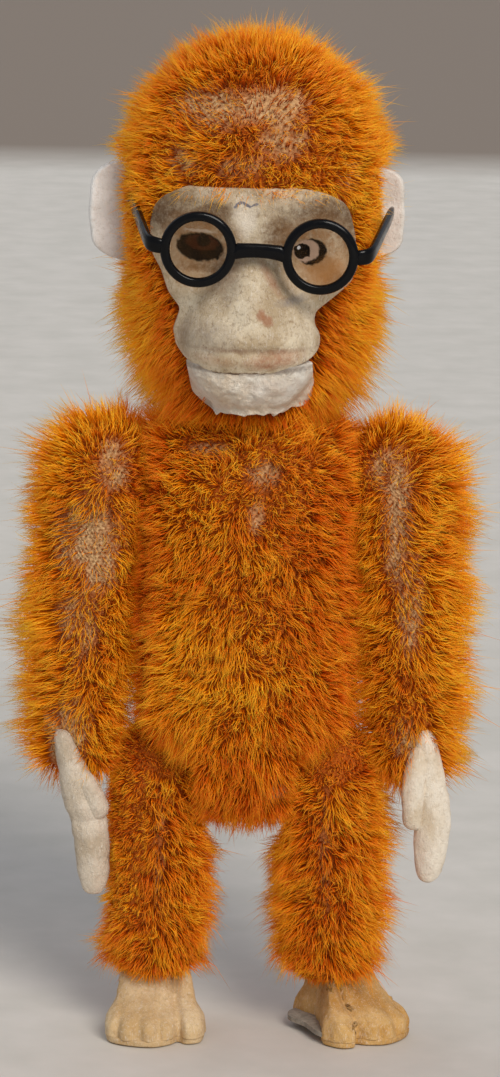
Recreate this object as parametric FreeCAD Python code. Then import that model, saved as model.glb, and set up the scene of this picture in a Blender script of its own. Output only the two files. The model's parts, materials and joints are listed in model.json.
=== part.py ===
"""A small jointed toy monkey: mohair covers stuffed with wood wool, a felt face, ears, hands and feet,
round glasses, and a split-pin disc joint at the neck, the shoulders and the hips.

Millimetres. +Z is up, the toy faces -Y, and its own left side is +X. The origin is on the ground in the middle
of the whole toy, front to back and side to side.
"""
import FreeCAD, Part
import math
import os

V = FreeCAD.Vector

# Driving dimensions
axis_y = 1.6  # the neck, shoulder and hip joints stand this far behind the middle of the toy
cloth = 0.5  # backing cloth of the mohair
felt = 1.0  # felt of the face
slack = 0.05  # between two pieces of one body that lie against each other
joint_gap = 0.3  # between two covers that turn on each other
roundness = 2.4  # exponent of the soft cross sections: 2 is an ellipse, more is boxier
outline_points = 20  # points round one cross section

neck_z = 77.85  # middle of the gap between torso and head
shoulder_x, shoulder_z = 12.85, 70.3  # middle of the gap between torso and arm
hip_x, hip_z = 5.5, 32.5  # middle of the gap between torso and leg

board = 0.8  # joint disc
washer_thick, washer_radius = 0.3, 1.7
pin_radius, running_fit, snug_fit = 0.55, 0.05, 0.02
wire_radius, curl_radius = 0.32, 1.0  # the pin's two legs, rolled outward
eye_radius, eye_wire = 0.95, 0.45
disc_radius = {"neck": 5.0, "shoulder": 3.0, "hip": 3.2}

# Soft forms: height, middle x, middle y from the joint axis, half width, half depth
head_sections = [
    (78.0, 0, 0.3, 8.2, 7.6),
    (80.4, 0, 0.4, 10.4, 9.6),
    (87.0, 0, 0.6, 13.4, 12.8),
    (96.0, 0, 0.7, 14.8, 14.3),
    (105.0, 0, 0.7, 15.4, 14.8),
    (111.5, 0, 0.7, 15.1, 14.5),
    (117.0, 0, 0.7, 12.8, 12.3),
    (120.6, 0, 0.7, 9.0, 8.6),
    (122.5, 0, 0.7, 4.2, 4.0),
]
muzzle_sections = [
    (79.8, 0, -8.0, 4.4, 6.2),
    (82.0, 0, -8.0, 6.6, 8.4),
    (85.2, 0, -8.0, 8.3, 9.7),
    (88.4, 0, -8.0, 8.7, 10.0),
    (92.0, 0, -8.0, 7.6, 9.2),
    (96.0, 0, -8.0, 6.0, 7.6),
    (100.5, 0, -8.0, 6.6, 6.7),
    (104.5, 0, -8.0, 8.0, 6.0),
    (107.4, 0, -8.0, 8.4, 5.0),
]
torso_sections = [
    (28.0, 0, 0.0, 6.5, 4.8),
    (30.5, 0, -0.1, 9.0, 7.6),
    (36.0, 0, -0.3, 11.8, 9.8),
    (43.0, 0, -0.5, 13.2, 10.8),
    (52.0, 0, -0.3, 13.6, 10.8),
    (63.0, 0, 0.0, 13.8, 10.2),
    (71.0, 0, 0.2, 13.8, 9.4),
    (75.6, 0, 0.3, 12.6, 8.0),
    (77.7, 0, 0.3, 9.0, 6.4),
]
arm_sections = [
    (33.2, 20.7, -0.3, 3.1, 3.2),
    (34.6, 20.7, -0.3, 4.0, 4.3),
    (39.0, 20.6, -0.3, 4.3, 5.0),
    (48.0, 20.0, 0.0, 4.9, 5.4),
    (58.0, 19.3, 0.2, 5.4, 5.7),
    (68.0, 18.1, 0.2, 6.5, 6.1),
    (72.6, 17.9, 0.0, 6.4, 5.8),
    (75.2, 17.8, 0.0, 5.4, 4.6),
    (76.3, 17.8, 0.0, 3.6, 2.8),
]
leg_sections = [
    (7.2, 10.9, -0.6, 3.9, 4.4),
    (9.0, 10.9, -0.5, 4.7, 5.3),
    (15.0, 10.7, -0.2, 5.2, 6.0),
    (23.0, 10.5, 0.0, 5.5, 6.3),
    (32.5, 10.4, 0.0, 5.6, 6.4),
    (36.4, 10.5, 0.0, 5.0, 5.2),
    (38.4, 10.6, 0.0, 3.8, 3.2),
]
hand_sections = [
    (17.5, 20.6, -0.9, 1.3, 0.9),
    (18.6, 20.5, -0.9, 2.1, 1.4),
    (22.0, 20.3, -0.8, 2.4, 1.6),
    (26.0, 20.1, -0.6, 2.7, 1.8),
    (30.0, 20.1, -0.4, 2.6, 1.9),
    (34.0, 20.5, -0.3, 2.1, 1.8),
    (38.0, 20.6, -0.3, 1.8, 1.7),
]
thumb = (17.9, -1.4, 26.0, 1.5, 2.6)  # x, y from the axis, z, radius across, half length

# Face: half width against height, from the top of the felt to the mouth seam
mask_half_outline = [(9.4, 106.8), (11.4, 105.2), (12.4, 101.5), (12.2, 97.6), (10.3, 94.0),
                     (8.5, 91.6), (9.4, 89.0), (9.3, 87.2), (7.9, 85.7)]
mouth_middle_z = 84.5
chin_half_outline = [(7.5, 85.4), (7.3, 83.4), (5.6, 80.9)]
chin_bottom_z = 79.9
seam_gap = 0.12
face_back, face_reach = 4.0, 40.0  # the face felt ends this far in front of the joint axis

ears = {"left": {"reach": 18.6, "low": 96.4, "high": 106.4}, "right": {"reach": 19.6, "low": 95.8, "high": 108.0}}
ear_thick, ear_y = 1.3, 1.2  # ear_y is the front of the felt, behind the joint axis
ear_root, ear_bow = 13.0, 2.0  # ear_root is inside the head, where the plate is cut off by it

# Glasses
eye_x, eye_z, lens_y = 7.2, 99.6, -18.6  # lens_y is measured from the joint axis
rim_radius, rim_wire = 3.95, 0.46
lens_thick = 0.5
glasses_tilt = 2.5  # degrees, down on the toy's left
temple_wire = 0.62
temple_elbow = (12.9, -17.8, 99.9)
temple_end = (16.7, -1.1, 102.6)

# Feet: length and breadth of the sole and how far each is turned out
sole_thick, card_thick, card_inset = 1.0, 0.6, 1.3
ankle_z = 7.15
foot_turn = {"left": 40.0, "right": 6.0}
foot_outline = [(-4.6, 3.6), (-2.6, 5.4), (1.0, 5.8), (4.2, 4.4), (5.4, 0.5), (6.2, -4.2), (5.9, -8.2), (3.4, -10.0),
                (0.2, -10.4), (-1.9, -9.0), (-2.8, -7.4), (-4.0, -8.6), (-5.6, -7.6), (-5.9, -4.0), (-5.2, 0.0)]

stitch_radius, stitch_reach, stitch_proud = 0.3, 1.1, 0.14
stitch_count, stitch_low, stitch_high = 9, 44.3, 65.1


def smooth_loop(points):
    """A closed smooth curve through points, as a wire."""
    curve = Part.BSplineCurve()
    curve.interpolate(Points=points, PeriodicFlag=True)
    return Part.Wire([curve.toShape()])


def soft_wire(x, y, z, half_x, half_y):
    """A rounded cross section at height z."""
    points = []
    for i in range(outline_points):
        turn = 2 * math.pi * i / outline_points
        c, s = math.cos(turn), math.sin(turn)
        dx = half_x * math.copysign(abs(c) ** (2 / roundness), c)
        dy = half_y * math.copysign(abs(s) ** (2 / roundness), s)
        points.append(V(x + dx, y + dy, z))
    return smooth_loop(points)


def soft_form(sections, grow=0.0, side=1):
    """A closed stuffed form through its sections, every wall moved out by grow; side -1 mirrors it in X."""
    low, high = sections[0][0], sections[-1][0]
    middle, half = (low + high) / 2, (high - low) / 2
    wires = []
    for z, x, y, half_x, half_y in sections:
        level = middle + (z - middle) * (half + grow) / half
        wires.append(soft_wire(side * x, y + axis_y, level, half_x + grow, half_y + grow))
    return Part.makeLoft(wires, True)


def slab(x0, x1, y0, y1, z0, z1):
    """A box between two corners."""
    return Part.makeBox(x1 - x0, y1 - y0, z1 - z0, V(x0, y0, z0))


def rod(radius, start, end):
    """A cylinder from start to end."""
    return Part.makeCylinder(radius, (end - start).Length, start, end - start)


def save(name, shape):
    """Write one sub-part, and say what it is."""
    shape = shape.removeSplitter() if len(shape.Solids) == 1 else shape
    solids = len(shape.Solids)
    print(f"{name:28s} solids {solids:2d}  volume {shape.Volume:9.2f}  valid {shape.isValid()}")
    shape.exportStep(f"parts/{name}.step")


# Joint hardware. Each joint has a frame of its own: at is the middle of the gap and out points into the limb.
class Joint:
    def __init__(self, at, out, radius):
        self.at, self.out, self.radius = at, out, radius
        self.across = V(0, 1, 0)

    def point(self, along, sideways=0.0):
        return self.at + self.out * along + self.across * sideways

    def disc(self, radius, near, thick, hole, sign):
        start = self.point(sign * near)
        end = self.point(sign * (near + thick))
        bore = rod(hole, self.point(sign * (near - 1)), self.point(sign * (near + thick + 1)))
        return rod(radius, start, end).cut(bore)


cover_inside = joint_gap / 2 + cloth  # from the middle of the gap to the inside of a cover
disc_near = cover_inside + slack
washer_near = disc_near + board + slack
hardware_end = washer_near + washer_thick + slack
curl_middle = hardware_end + curl_radius + wire_radius
eye_middle = hardware_end + eye_radius + eye_wire
limb_hole = pin_radius + snug_fit
torso_hole = pin_radius + running_fit


def split_pin(joint):
    """The pin: a shank through the joint, an eye in the limb and two legs rolled outward in the torso."""
    shank = rod(pin_radius, joint.point(-curl_middle), joint.point(hardware_end + eye_wire))
    normal = joint.out.cross(joint.across)
    eye = Part.makeTorus(eye_radius, eye_wire, joint.point(eye_middle), normal)
    pin = shank.fuse(eye)
    for sign in (-1, 1):
        centre = joint.point(-curl_middle, sign * curl_radius)
        pin = pin.fuse(Part.makeTorus(curl_radius, wire_radius, centre, normal))
    return pin


def pin_room(joint):
    """The space the pin's rolled legs sweep inside the torso stuffing, with the disc and washer."""
    reach = 2 * curl_radius + wire_radius + 0.35
    deep = curl_middle + curl_radius + wire_radius + 0.2
    curls = rod(reach, joint.point(-hardware_end), joint.point(-deep))
    return curls.fuse(hardware_room(joint, -1))


def hardware_room(joint, sign):
    """The space that a disc and its washer fill on one side of a joint."""
    disc = rod(joint.radius + slack, joint.point(0), joint.point(sign * (disc_near + board + slack)))
    return disc.fuse(rod(washer_radius + slack, joint.point(0), joint.point(sign * hardware_end)))


def eye_room(joint):
    """The space that the pin's eye, the disc and the washer fill inside a limb."""
    reach = eye_radius + eye_wire + slack
    deep = eye_middle + eye_radius + eye_wire + slack
    return rod(reach, joint.point(hardware_end - 0.1), joint.point(deep)).fuse(hardware_room(joint, 1))


def save_hardware(joint, limb, name):
    """Both discs, both washers and the pin of one joint."""
    for where, sign, hole in ((limb, 1, limb_hole), ("torso", -1, torso_hole)):
        end = "" if where == limb else "_torso"
        save(f"{name}_disc{end}", joint.disc(joint.radius, disc_near, board, hole, sign))
        save(f"{name}_washer{end}", joint.disc(washer_radius, washer_near, washer_thick, hole, sign))
    save(f"{name}_pin", split_pin(joint))


def pin_hole(joint, radius):
    return rod(radius, joint.point(-2), joint.point(2))


neck = Joint(V(0, axis_y, neck_z), V(0, 0, 1), disc_radius["neck"])
shoulders = {side: Joint(V(sign * shoulder_x, axis_y, shoulder_z), V(sign, 0, 0), disc_radius["shoulder"])
             for side, sign in (("left", 1), ("right", -1))}
hips = {side: Joint(V(sign * hip_x, axis_y, hip_z), V(sign, 0, 0), disc_radius["hip"])
        for side, sign in (("left", 1), ("right", -1))}


# Head
def head_form(grow):
    return soft_form(head_sections, grow).fuse(soft_form(muzzle_sections, grow))


def face_prism(half_outline, bottom_z):
    """A block in front of the head, cut to the outline of one piece of face felt, straight along the top."""
    right = [V(x, 0, z) for x, z in half_outline]
    left = [V(-x, 0, z) for x, z in reversed(half_outline)]
    around = Part.BSplineCurve()
    around.interpolate(right + [V(0, 0, bottom_z)] + left)
    face = Part.Face(Part.Wire([around.toShape(), Part.makeLine(left[-1], right[0])]))
    prism = face.extrude(V(0, -face_reach, 0))
    prism.translate(V(0, axis_y - face_back, 0))
    return prism


def make_face():
    layer = head_form(felt + slack).cut(head_form(slack))
    mask = layer.common(face_prism(mask_half_outline, mouth_middle_z))
    above_mouth = face_prism(mask_half_outline, mouth_middle_z)
    above_mouth.translate(V(0, 0, -seam_gap))
    chin = layer.common(face_prism(chin_half_outline, chin_bottom_z)).cut(above_mouth)
    save("face_mask", mask)
    save("chin_felt", chin)


def make_ears():
    """Flat felt ears: straight edges out from the head and one bowed outer edge."""
    for side, sign in (("left", 1), ("right", -1)):
        ear = ears[side]
        low, high, reach = ear["low"], ear["high"], ear["reach"]
        root = V(sign * ear_root, 0, low)
        root_top = V(sign * ear_root, 0, high)
        bottom = V(sign * (reach - ear_bow), 0, low)
        top = V(sign * (reach - ear_bow), 0, high)
        edge = Part.Arc(bottom, V(sign * reach, 0, (low + high) / 2), top).toShape()
        sides = [Part.makeLine(root, bottom), edge, Part.makeLine(top, root_top), Part.makeLine(root_top, root)]
        plate = Part.Face(Part.Wire(sides)).extrude(V(0, ear_thick, 0))
        plate.translate(V(0, axis_y + ear_y, 0))
        save(f"ear_{side}", plate.cut(soft_form(head_sections, slack)))


def make_head():
    shell = head_form(0).cut(head_form(-cloth))
    save("head_cover", shell.cut(pin_hole(neck, limb_hole)))
    save("head_stuffing", head_form(-cloth - slack).cut(eye_room(neck)))
    make_face()
    make_ears()
    save_hardware(neck, "head", "neck")


def make_glasses():
    """One moulding, front and temples, and two lenses pressed into its rims."""
    y = axis_y + lens_y
    middle = V(0, y, eye_z)
    bridge_path = Part.Arc(V(-3.4, y, eye_z + 0.2), V(0, y, eye_z + 0.9), V(3.4, y, eye_z + 0.2)).toShape()
    bridge_section = Part.Wire([Part.makeCircle(0.68, V(-3.4, y, eye_z + 0.2), V(1, 0, 0.4))])
    frame = Part.Wire([bridge_path]).makePipeShell([bridge_section], True, False)
    lenses = {}
    for side, sign in (("left", 1), ("right", -1)):
        centre = V(sign * eye_x, y, eye_z)
        frame = frame.fuse(Part.makeTorus(rim_radius, rim_wire, centre, V(0, 1, 0)))
        elbow = V(sign * temple_elbow[0], axis_y + temple_elbow[1], temple_elbow[2])
        tip = V(sign * temple_end[0], axis_y + temple_end[1], temple_end[2])
        lug = V(sign * (eye_x + rim_radius), y, eye_z + 0.1)
        for start, end in ((lug, elbow), (elbow, tip)):
            frame = frame.fuse(rod(temple_wire, start, end))
        for ball in (elbow, tip):
            frame = frame.fuse(Part.makeSphere(temple_wire, ball))
        lens = rod(rim_radius - 0.1, centre - V(0, lens_thick / 2, 0), centre + V(0, lens_thick / 2, 0))
        lenses[side] = lens
    for side in lenses:
        frame = frame.cut(lenses[side])
    for name, shape in (("glasses_frame", frame), ("lens_left", lenses["left"]), ("lens_right", lenses["right"])):
        shape = shape.copy()
        shape.rotate(middle, V(0, 1, 0), glasses_tilt)
        save(name, shape)


# Torso: flat sides for the arms, and a narrow keel between the legs
def torso_form(grow):
    form = soft_form(torso_sections, grow)
    flat = shoulder_x - joint_gap / 2 + grow
    keel = hip_x - joint_gap / 2 + grow
    belly_z = torso_underside - grow
    form = form.common(slab(-flat, flat, -30, 30, 0, 100))
    for sign in (-1, 1):
        low, high = sorted((sign * keel, sign * 20))
        form = form.cut(slab(low, high, -30, 30, 0, belly_z))
    return form


torso_underside = hip_z + 6.4 + 0.8  # clear of a leg's top as it swings


def make_torso():
    joints = [neck] + list(shoulders.values()) + list(hips.values())
    shell = torso_form(0).cut(torso_form(-cloth))
    stuffing = torso_form(-cloth - slack)
    for joint in joints:
        shell = shell.cut(pin_hole(joint, torso_hole))
        stuffing = stuffing.cut(pin_room(joint))
    save("torso_cover", shell)
    save("torso_stuffing", stuffing)
    skin = soft_form(torso_sections, 0.02)
    stitches = []
    for i in range(stitch_count):
        z = stitch_low + (stitch_high - stitch_low) * i / (stitch_count - 1)
        cut = skin.slice(V(0, 0, 1), z)
        back = max(wire.BoundBox.YMax for wire in cut) + stitch_proud
        lean = 0.5 if i % 2 else -0.5
        stitch = rod(stitch_radius, V(-stitch_reach, back, z - lean), V(stitch_reach, back, z + lean))
        stitches.append(stitch.cut(skin))
    save("closing_stitches", Part.makeCompound(stitches))


# Arms
def arm_form(grow, sign):
    form = soft_form(arm_sections, grow, sign)
    inner = shoulder_x + joint_gap / 2 - grow
    low, high = sorted((0, sign * inner))
    return form.cut(slab(low, high, -30, 30, 0, 100))


def make_hand(sign):
    hand = soft_form(hand_sections, 0, sign)
    x, y, z, radius, half_length = thumb
    ball = Part.makeSphere(1.0)
    stretch = FreeCAD.Matrix()
    stretch.scale(V(radius, radius * 0.9, half_length))
    ball = ball.transformGeometry(stretch)
    ball.translate(V(sign * x, axis_y + y, z))
    return hand.fuse(ball)


def make_arm(side, sign):
    joint = shoulders[side]
    wrist = soft_form(hand_sections, slack, sign)
    shell = arm_form(0, sign).cut(arm_form(-cloth, sign)).cut(pin_hole(joint, limb_hole)).cut(wrist)
    save(f"arm_{side}_cover", shell)
    save(f"arm_{side}_stuffing", arm_form(-cloth - slack, sign).cut(eye_room(joint)).cut(wrist))
    save(f"hand_{side}", make_hand(sign))
    save_hardware(joint, "arm", f"shoulder_{side}")


# Legs
def leg_form(grow, sign):
    form = soft_form(leg_sections, grow, sign)
    inner = hip_x + joint_gap / 2 - grow
    low, high = sorted((0, sign * inner))
    return form.cut(slab(low, high, -30, 30, 0, 100))


def foot_wire(side, sign, z, grow, shrink_front=1.0):
    """The outline of a foot at height z: grow moves it out, shrink_front draws the toes back."""
    turn = math.radians(foot_turn[side]) * sign
    points = []
    for across, along in foot_outline:
        size = math.hypot(across, along)
        across, along = across * (size + grow) / size, along * (size + grow) / size
        along = along * shrink_front if along < 0 else along
        x = across * sign
        points.append(V(x * math.cos(turn) - along * math.sin(turn) + sign * 10.6,
                        x * math.sin(turn) + along * math.cos(turn) + axis_y - 0.4, z))
    return smooth_loop(points if sign > 0 else points[::-1])


def make_foot(side, sign):
    sole = Part.Face(foot_wire(side, sign, 0, 0)).extrude(V(0, 0, sole_thick))
    card_low = sole_thick + slack
    card = Part.Face(foot_wire(side, sign, card_low, -card_inset)).extrude(V(0, 0, card_thick))
    levels = [(sole_thick + slack, 0, 1.0), (3.0, -0.3, 0.96), (4.6, -1.2, 0.72), (ankle_z, -1.7, 0.42)]
    upper = Part.makeLoft([foot_wire(side, sign, z, grow, front) for z, grow, front in levels], True)
    hollow = Part.Face(foot_wire(side, sign, 0, -card_inset + slack)).extrude(V(0, 0, card_low + card_thick + slack))
    save(f"foot_{side}_upper", upper.cut(hollow))
    save(f"foot_{side}_sole", sole)
    save(f"foot_{side}_card", card)


def make_leg(side, sign):
    joint = hips[side]
    shell = leg_form(0, sign).cut(leg_form(-cloth, sign)).cut(pin_hole(joint, limb_hole))
    save(f"leg_{side}_cover", shell)
    save(f"leg_{side}_stuffing", leg_form(-cloth - slack, sign).cut(eye_room(joint)))
    make_foot(side, sign)
    save_hardware(joint, "leg", f"hip_{side}")


os.makedirs("parts", exist_ok=True)
make_head()
make_glasses()
make_torso()
for side, sign in (("left", 1), ("right", -1)):
    make_arm(side, sign)
    make_leg(side, sign)
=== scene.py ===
import json
import math

import bpy
import bmesh
from mathutils import Matrix, Vector, noise
from mathutils.bvhtree import BVHTree


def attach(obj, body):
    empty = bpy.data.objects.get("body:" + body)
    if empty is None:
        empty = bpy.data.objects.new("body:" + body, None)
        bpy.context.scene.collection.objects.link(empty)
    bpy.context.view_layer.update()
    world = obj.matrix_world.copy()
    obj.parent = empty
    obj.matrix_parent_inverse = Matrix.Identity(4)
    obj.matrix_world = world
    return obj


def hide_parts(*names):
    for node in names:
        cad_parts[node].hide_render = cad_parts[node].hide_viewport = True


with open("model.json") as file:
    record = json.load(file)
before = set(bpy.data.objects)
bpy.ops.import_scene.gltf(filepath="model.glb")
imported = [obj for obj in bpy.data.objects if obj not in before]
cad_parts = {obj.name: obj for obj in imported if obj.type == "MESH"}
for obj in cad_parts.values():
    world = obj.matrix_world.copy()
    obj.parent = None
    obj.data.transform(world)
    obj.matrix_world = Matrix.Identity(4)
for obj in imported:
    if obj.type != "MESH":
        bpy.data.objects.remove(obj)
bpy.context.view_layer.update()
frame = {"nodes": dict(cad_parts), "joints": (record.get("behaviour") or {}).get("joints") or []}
mm = 0.001
turn = 2 * math.pi

axisY = next(j for j in frame["joints"] if j["name"] == "neck_turn")["pos_m"][1]


# nodes

class Wire:
    # a socket that turns sums written in Python into Math and Vector Math nodes
    def __init__(self, desk, socket):
        self.desk, self.socket = desk, socket
        self.isVector = socket.type == "VECTOR"

    def join(self, operation, a, b):
        vector = any(isinstance(v, Wire) and v.isVector or isinstance(v, (tuple, Vector)) for v in (a, b))
        if vector and operation == "MULTIPLY":
            for much, many in ((a, b), (b, a)):
                plain = isinstance(many, (int, float)) or isinstance(many, Wire) and not many.isVector
                if plain:
                    return self.desk.add("ShaderNodeVectorMath", {"operation": "SCALE"}, {0: much, "Scale": many})
        kind = "ShaderNodeVectorMath" if vector else "ShaderNodeMath"
        return self.desk.add(kind, {"operation": operation}, {0: a, 1: b})

    def __add__(self, other): return self.join("ADD", self, other)
    def __radd__(self, other): return self.join("ADD", other, self)
    def __sub__(self, other): return self.join("SUBTRACT", self, other)
    def __rsub__(self, other): return self.join("SUBTRACT", other, self)
    def __mul__(self, other): return self.join("MULTIPLY", self, other)
    def __rmul__(self, other): return self.join("MULTIPLY", other, self)
    def __truediv__(self, other): return self.join("DIVIDE", self, other)
    def __pow__(self, other): return self.join("POWER", self, other)
    def __gt__(self, other): return self.join("GREATER_THAN", self, other)


class Desk:
    # one node tree and the ways to put nodes in it
    def __init__(self, tree):
        self.tree = tree

    def add(self, kind, settings=None, sockets=None, out=None):
        node = self.tree.nodes.new(kind)
        for name, value in (settings or {}).items():
            if name == "stops":
                self.setStops(node.color_ramp, value)
            else:
                setattr(node, name, value)
        for name, value in (sockets or {}).items():
            socket = node.inputs[name] if isinstance(name, int) else self.pick(node.inputs, name)
            if isinstance(value, Wire):
                self.tree.links.new(value.socket, socket)
            else:
                socket.default_value = value
        if not len(node.outputs):
            return node
        found = self.pick(node.outputs, out) if out else next(s for s in node.outputs if s.enabled)
        return Wire(self, found)

    def pick(self, sockets, name):
        return next(s for s in sockets if s.name == name and s.enabled)

    def setStops(self, ramp, stops):
        while len(ramp.elements) < len(stops):
            ramp.elements.new(0.5)
        for element, (place, colour) in zip(ramp.elements, stops):
            element.position = place
            element.color = (*colour, 1)

    def ramp(self, factor, *stops):
        return self.add("ShaderNodeValToRGB", {"stops": stops}, {0: factor}, "Color")

    def blend(self, factor, a, b, how="MIX"):
        a, b = ((*c, 1) if isinstance(c, tuple) and len(c) == 3 else c for c in (a, b))
        return self.add("ShaderNodeMix", {"data_type": "RGBA", "blend_type": how},
                        {"Factor": factor, "A": a, "B": b}, "Result")

    def limit(self, value, low=0.0, high=1.0, outLow=0.0, outHigh=1.0):
        return self.add("ShaderNodeMapRange", {"clamp": True}, {
            "Value": value, "From Min": low, "From Max": high, "To Min": outLow, "To Max": outHigh})

    def cloud(self, where, scale, detail=3.0, roughness=0.55, distortion=0.0):
        return self.add("ShaderNodeTexNoise", {}, {
            "Vector": where, "Scale": scale, "Detail": detail, "Roughness": roughness, "Distortion": distortion}, "Fac")

    def split(self, vector, axis):
        return self.add("ShaderNodeSeparateXYZ", {}, {0: vector}, axis)


def newMaterial(name, **plain):
    # a Principled material; plain holds the numbers that are the same all over
    material = bpy.data.materials.new(name)
    material.use_nodes = True
    shader = material.node_tree.nodes["Principled BSDF"]
    for socket, value in plain.items():
        name = socket.replace("_", " ")
        shader.inputs[name].default_value = (*value, 1) if isinstance(value, tuple) else value
    return material, Desk(material.node_tree), shader


def feed(desk, shader, **links):
    for socket, wire in links.items():
        desk.tree.links.new(wire.socket, shader.inputs[socket.replace("_", " ")])


def bump(desk, height, distance, strength=1.0):
    return desk.add("ShaderNodeBump", {}, {"Strength": strength, "Distance": distance, "Height": height})


def spot(desk, where, centre, sizeX, sizeZ, soft=0.3):
    # 1 inside an upright oval seen from the front, fading to 0 at its edge
    across = (desk.split(where, "X") - centre[0]) / sizeX
    up = (desk.split(where, "Z") - centre[1]) / sizeZ
    return desk.limit(across * across + up * up, 1.0 + soft, 1.0 - soft)


# meshes

def finishMesh(name, bm, material=None, smooth=True):
    mesh = bpy.data.meshes.new(name)
    bm.to_mesh(mesh)
    bm.free()
    for face in mesh.polygons:
        face.use_smooth = smooth
    thing = bpy.data.objects.new(name, mesh)
    bpy.context.collection.objects.link(thing)
    if material:
        mesh.materials.append(material)
    return thing


def applyAll(thing):
    # keep what the modifiers make as the piece's own mesh
    graph = bpy.context.evaluated_depsgraph_get()
    made = bpy.data.meshes.new_from_object(thing.evaluated_get(graph))
    made.name = thing.name
    thing.modifiers.clear()
    thing.data = made
    return thing


def loft(rings, sides):
    # a closed form through rings, each a way from a spoke's angle to its point
    bm = bmesh.new()
    spokes = bm.verts.layers.float.new("spoke")
    verts = bmesh.ops.create_circle(bm, segments=sides, radius=1.0)["verts"]
    for v in verts:
        v[spokes] = math.atan2(v.co.y, v.co.x)
    loop = bm.edges[:]
    ends = [loop]
    for number, ring in enumerate(rings):
        if number:
            grown = bmesh.ops.extrude_edge_only(bm, edges=loop)["geom"]
            verts = [g for g in grown if isinstance(g, bmesh.types.BMVert)]
            loop = [g for g in grown if isinstance(g, bmesh.types.BMEdge)]
        for v in verts:
            v.co = ring(v[spokes])
    ends.append(loop)
    for rim in ends:
        bmesh.ops.edgeloop_fill(bm, edges=rim)
    bmesh.ops.recalc_face_normals(bm, faces=bm.faces)
    return bm


def ovalRing(height, x, y, halfX, halfY):
    def at(spoke):
        return Vector((x + halfX * math.cos(spoke), y + halfY * math.sin(spoke), height)) * mm + Vector((0, axisY, 0))
    return at


def stackRings(rings, sides=20):
    # oval rings, each (height, middle x, middle y, half width, half depth) in millimetres
    return loft([ovalRing(*ring) for ring in rings], sides)


# what the whole toy shares
pile = {"perArea": 13.2e6, "locksPerArea": 1.1e6, "length": 2.85 * mm, "width": 0.073 * mm,
        "clump": 0.55, "fray": 0.5, "lockFray": 0.6, "wave": 0.9 * mm, "swirl": 0.5, "swirlSize": 4.0}

rust, amber, gold = (0.5, 0.075, 0.0008), (0.97, 0.34, 0.002), (1.0, 0.7, 0.035)
deepRust, ember, honey = (0.17, 0.012, 0.0003), (0.7, 0.1, 0.0008), (0.92, 0.27, 0.003)


def makePileMaterial():
    # strands share one strip of colour: across it runs from rusty to golden hair, up it from root to tip
    # the strands also glow faintly in their own colour: painted light that lifts the shade inside the pile
    material, desk, shader = newMaterial("mohairPile", Roughness=0.5, Specular_IOR_Level=0.25, Emission_Strength=0.1)
    strip = desk.add("ShaderNodeUVMap", {"uv_map": "OFBake"}, out="UV")
    tone, rise = desk.split(strip, "X"), desk.split(strip, "Y")
    rusty = desk.ramp(rise, (0.0, deepRust), (0.45, ember), (1.0, honey))
    golden = desk.ramp(rise, (0.0, rust), (0.4, amber), (1.0, gold))
    dye = desk.blend(tone, rusty, golden)
    feed(desk, shader, Base_Color=dye, Emission_Color=dye)
    return material


def makeClothMaterial():
    # woven cotton backing: over-and-under threads, dyed orange where hair still covers it, paler where it is bare
    material, desk, shader = newMaterial("backingCloth", Roughness=0.9, Specular_IOR_Level=0.2)
    where = desk.add("ShaderNodeTexCoord", out="Object")
    worn = desk.add("ShaderNodeAttribute", {"attribute_name": "bare"}, out="Fac")
    around = desk.add("ShaderNodeAttribute", {"attribute_name": "around"}, out="Fac")
    wobble = desk.cloud(where, 600, 3.0) * 1.5 * mm
    across = (around + wobble) * (turn / (0.95 * mm))
    up = (desk.split(where, "Z") + wobble) * (turn / (0.95 * mm))
    weft = desk.add("ShaderNodeMath", {"operation": "SINE"}, {0: across})
    warp = desk.add("ShaderNodeMath", {"operation": "SINE"}, {0: up})
    weave = desk.limit(weft * warp, -1.0, 1.0)
    fuzz = desk.cloud(where, 2600, 4.0, 0.7)
    # painted shade: the pits between the crossing threads are coloured dark
    pitShade = desk.limit(weft * warp + fuzz * 0.9, -0.7, 0.3, 0.2, 1.0)
    thread = desk.blend(desk.limit(fuzz, 0.35, 0.7), (0.32, 0.15, 0.05), (0.78, 0.54, 0.27))
    pitShaded = desk.blend(pitShade, (0.13, 0.032, 0.008), thread)
    dyed = desk.blend(desk.cloud(where, 900, 3.0), (0.3, 0.05, 0.003), (0.55, 0.14, 0.01))
    feed(desk, shader, Base_Color=desk.blend(worn, dyed, pitShaded),
         Normal=bump(desk, weave + fuzz * 0.5, 0.22 * mm, 0.8))
    return material


pileMaterial = makePileMaterial()
clothMaterial = makeClothMaterial()


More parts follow.
